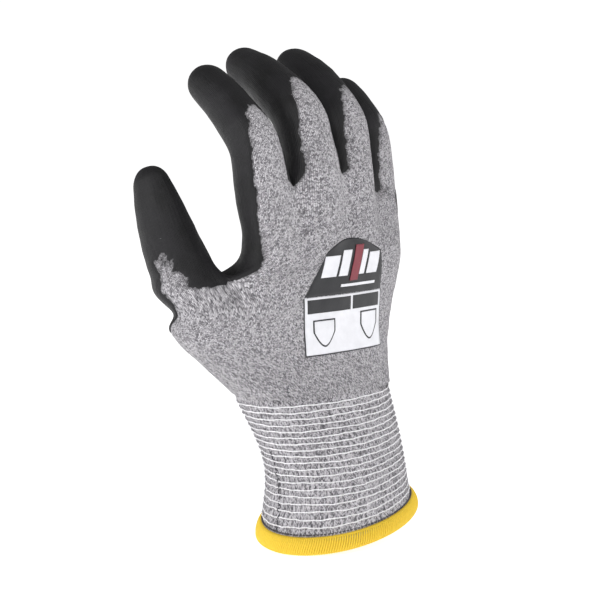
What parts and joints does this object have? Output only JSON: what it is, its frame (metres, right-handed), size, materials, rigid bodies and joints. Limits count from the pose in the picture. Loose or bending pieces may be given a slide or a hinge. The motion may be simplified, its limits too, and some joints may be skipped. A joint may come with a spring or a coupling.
{
  "type": "work glove",
  "caption": "Right-hand seamless knit cut resistant glove with a dipped palm and fingertips, elastic ribbed cuff, overlocked hem and a blank heat-pressed label.",
  "frame": {"origin": "centre of the cuff mouth", "axes": "+Z from the cuff mouth towards the fingertips, +Y out of the palm, -Y out of the back of the hand, -X towards the thumb"},
  "size_m": [0.1385, 0.091, 0.2277],
  "materials": {
    "heather_knit": "fine heathered grey jersey knit, matte",
    "cuff_rib_knit": "heathered grey rib knit, matte",
    "dipped_polyurethane": "thin black dipped coating, soft satin with fine creases",
    "elastic_yarn": "white covered elastic yarn, matte",
    "overlock_thread": "bright yellow sewing thread, matte",
    "label_film": "white heat-transfer film, semi-matte",
    "label_header_film": "black heat-transfer film, semi-matte"
  },
  "bodies": {
    "cuff": {"cuff_knit": "cuff_rib_knit", "cuff_elastic_yarn": "elastic_yarn", "hem_overlock_thread": "overlock_thread"},
    "hand": {"hand_knit": "heather_knit", "palm_coating": "dipped_polyurethane", "label_panel": "label_film", "label_header": "label_header_film"},
    "index_proximal": {"index_knit_proximal": "heather_knit", "index_coating_proximal": "dipped_polyurethane"},
    "index_middle": {"index_knit_middle": "heather_knit", "index_coating_middle": "dipped_polyurethane"},
    "index_tip": {"index_knit_tip": "heather_knit", "index_coating_tip": "dipped_polyurethane"},
    "middle_proximal": {"middle_knit_proximal": "heather_knit", "middle_coating_proximal": "dipped_polyurethane"},
    "middle_middle": {"middle_knit_middle": "heather_knit", "middle_coating_middle": "dipped_polyurethane"},
    "middle_tip": {"middle_knit_tip": "heather_knit", "middle_coating_tip": "dipped_polyurethane"},
    "ring_proximal": {"ring_knit_proximal": "heather_knit", "ring_coating_proximal": "dipped_polyurethane"},
    "ring_middle": {"ring_knit_middle": "heather_knit", "ring_coating_middle": "dipped_polyurethane"},
    "ring_tip": {"ring_knit_tip": "heather_knit", "ring_coating_tip": "dipped_polyurethane"},
    "little_proximal": {"little_knit_proximal": "heather_knit", "little_coating_proximal": "dipped_polyurethane"},
    "little_middle": {"little_knit_middle": "heather_knit", "little_coating_middle": "dipped_polyurethane"},
    "little_tip": {"little_knit_tip": "heather_knit", "little_coating_tip": "dipped_polyurethane"},
    "thumb_proximal": {"thumb_knit_proximal": "heather_knit", "thumb_coating_proximal": "dipped_polyurethane"},
    "thumb_tip": {"thumb_knit_tip": "heather_knit", "thumb_coating_tip": "dipped_polyurethane"}
  },
  "joints": [
    {"name": "wrist", "type": "hinge", "parent": "cuff", "child": "hand", "pos_m": [-0.0138, 0.0032, 0.064], "axis": [-1, 0, 0], "range_deg": [-24, 24]},
    {"name": "index_knuckle", "type": "hinge", "parent": "hand", "child": "index_proximal", "pos_m": [-0.0402, 0.0022, 0.1485], "axis": [-0.9945, 0, -0.1045], "range_deg": [-16, 54]},
    {"name": "index_middle_joint", "type": "hinge", "parent": "index_proximal", "child": "index_middle", "pos_m": [-0.04337, 0.00539, 0.17867], "axis": [-0.9945, 0, -0.1045], "range_deg": [-39, 41]},
    {"name": "index_end_joint", "type": "hinge", "parent": "index_middle", "child": "index_tip", "pos_m": [-0.04505, 0.02454, 0.19465], "axis": [-0.9945, 0, -0.1045], "range_deg": [-16.1, 16.9]},
    {"name": "middle_knuckle", "type": "hinge", "parent": "hand", "child": "middle_proximal", "pos_m": [-0.0118, -0.0018, 0.15], "axis": [-0.9994, 0, -0.0349], "range_deg": [-29, 41]},
    {"name": "middle_middle_joint", "type": "hinge", "parent": "middle_proximal", "child": "middle_middle", "pos_m": [-0.01319, 0.01187, 0.18969], "axis": [-0.9994, 0, -0.0349], "range_deg": [-36, 44]},
    {"name": "middle_end_joint", "type": "hinge", "parent": "middle_middle", "child": "middle_tip", "pos_m": [-0.01373, 0.03872, 0.20518], "axis": [-0.9994, 0, -0.0349], "range_deg": [-14.9, 18.1]},
    {"name": "ring_knuckle", "type": "hinge", "parent": "hand", "child": "ring_proximal", "pos_m": [0.0128, 0.0012, 0.148], "axis": [-0.9986, 0, 0.0523], "range_deg": [-31, 39]},
    {"name": "ring_middle_joint", "type": "hinge", "parent": "ring_proximal", "child": "ring_middle", "pos_m": [0.0148, 0.01589, 0.18622], "axis": [-0.9986, 0, 0.0523], "range_deg": [-27, 53]},
    {"name": "ring_end_joint", "type": "hinge", "parent": "ring_middle", "child": "ring_tip", "pos_m": [0.0157, 0.03865, 0.20335], "axis": [-0.9986, 0, 0.0523], "range_deg": [-11.3, 21.7]},
    {"name": "little_knuckle", "type": "hinge", "parent": "hand", "child": "little_proximal", "pos_m": [0.0342, 0.0127, 0.144], "axis": [-0.9925, 0, 0.1219], "range_deg": [-29, 41]},
    {"name": "little_middle_joint", "type": "hinge", "parent": "little_proximal", "child": "little_middle", "pos_m": [0.03835, 0.02442, 0.17778], "axis": [-0.9925, 0, 0.1219], "range_deg": [-24, 56]},
    {"name": "little_end_joint", "type": "hinge", "parent": "little_middle", "child": "little_tip", "pos_m": [0.03973, 0.03705, 0.18907], "axis": [-0.9925, 0, 0.1219], "range_deg": [-10.1, 22.9]},
    {"name": "thumb_root", "type": "hinge", "parent": "hand", "child": "thumb_proximal", "pos_m": [-0.0646, 0.0212, 0.107], "axis": [-0.395, 0.8655, -0.3082], "range_deg": [-15, 10]},
    {"name": "thumb_end_joint", "type": "hinge", "parent": "thumb_proximal", "child": "thumb_tip", "pos_m": [-0.0758, 0.0272, 0.1382], "axis": [-0.395, 0.8655, -0.3082], "range_deg": [-18, 27]}
  ],
  "couplings": [
    {"joint": "index_end_joint", "follows": "index_middle_joint", "ratio": 0.4},
    {"joint": "middle_end_joint", "follows": "middle_middle_joint", "ratio": 0.4},
    {"joint": "ring_end_joint", "follows": "ring_middle_joint", "ratio": 0.4},
    {"joint": "little_end_joint", "follows": "little_middle_joint", "ratio": 0.4}
  ]
}
